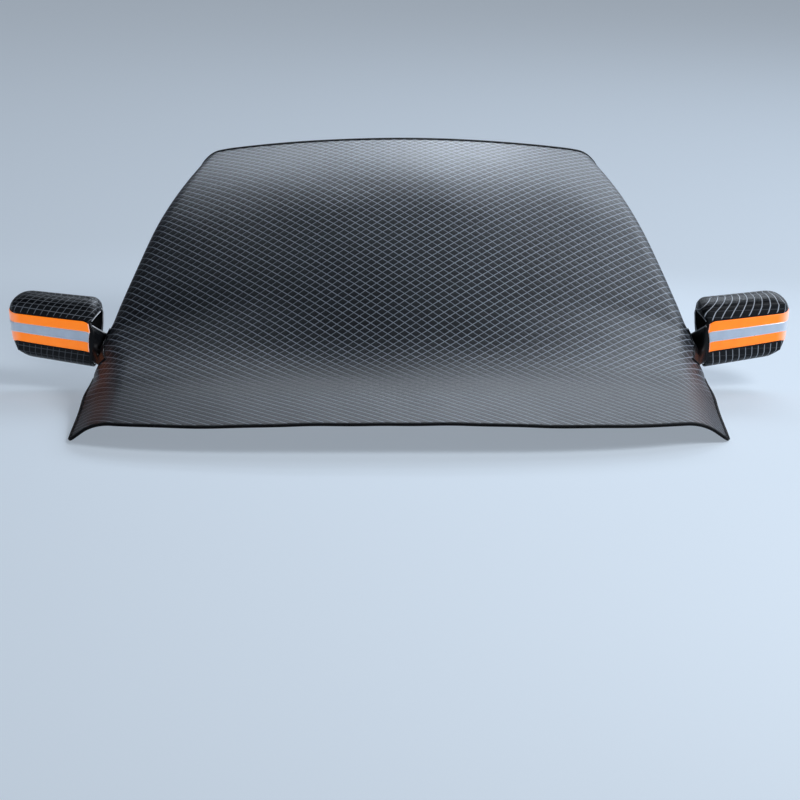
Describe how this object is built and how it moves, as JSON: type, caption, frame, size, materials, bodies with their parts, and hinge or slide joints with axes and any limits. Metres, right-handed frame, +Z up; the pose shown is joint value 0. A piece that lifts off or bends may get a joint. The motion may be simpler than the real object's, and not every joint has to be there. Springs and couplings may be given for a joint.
{
  "type": "windshield frost cover",
  "caption": "Dark diamond-patterned cloth cover shaped over a windscreen, with an apron, pillar flanks and a mirror pouch with reflective tape on each side.",
  "frame": {"origin": "on the centreline, on the underside of the cloth, where the windscreen's glass meets the bonnet", "axes": "+Z up with the car on level ground, +Y towards the roof and the car's rear, +X across the car, towards the right in a view from the front"},
  "size_m": [2.175, 1.6232, 0.596],
  "materials": {
    "panel": "matte woven polyester with a pale diamond pattern",
    "pouch": "matte woven polyester with a pale diamond pattern",
    "binding": "matte black woven tape",
    "piping": "matte light grey piping",
    "orange": "fluorescent reflective tape",
    "silver": "glass-bead reflective tape"
  },
  "bodies": {
    "root": {"windscreen_panel": "panel", "hem_binding": "binding", "edge_binding": "binding", "pouch_front_left": "pouch", "pouch_back_left": "pouch", "mouth_piping_left": "piping", "back_piping_left": "piping", "reflective_orange_left": "orange", "reflective_silver_left": "silver", "pouch_front_right": "pouch", "pouch_back_right": "pouch", "mouth_piping_right": "piping", "back_piping_right": "piping", "reflective_orange_right": "orange", "reflective_silver_right": "silver"}
  },
  "joints": []
}
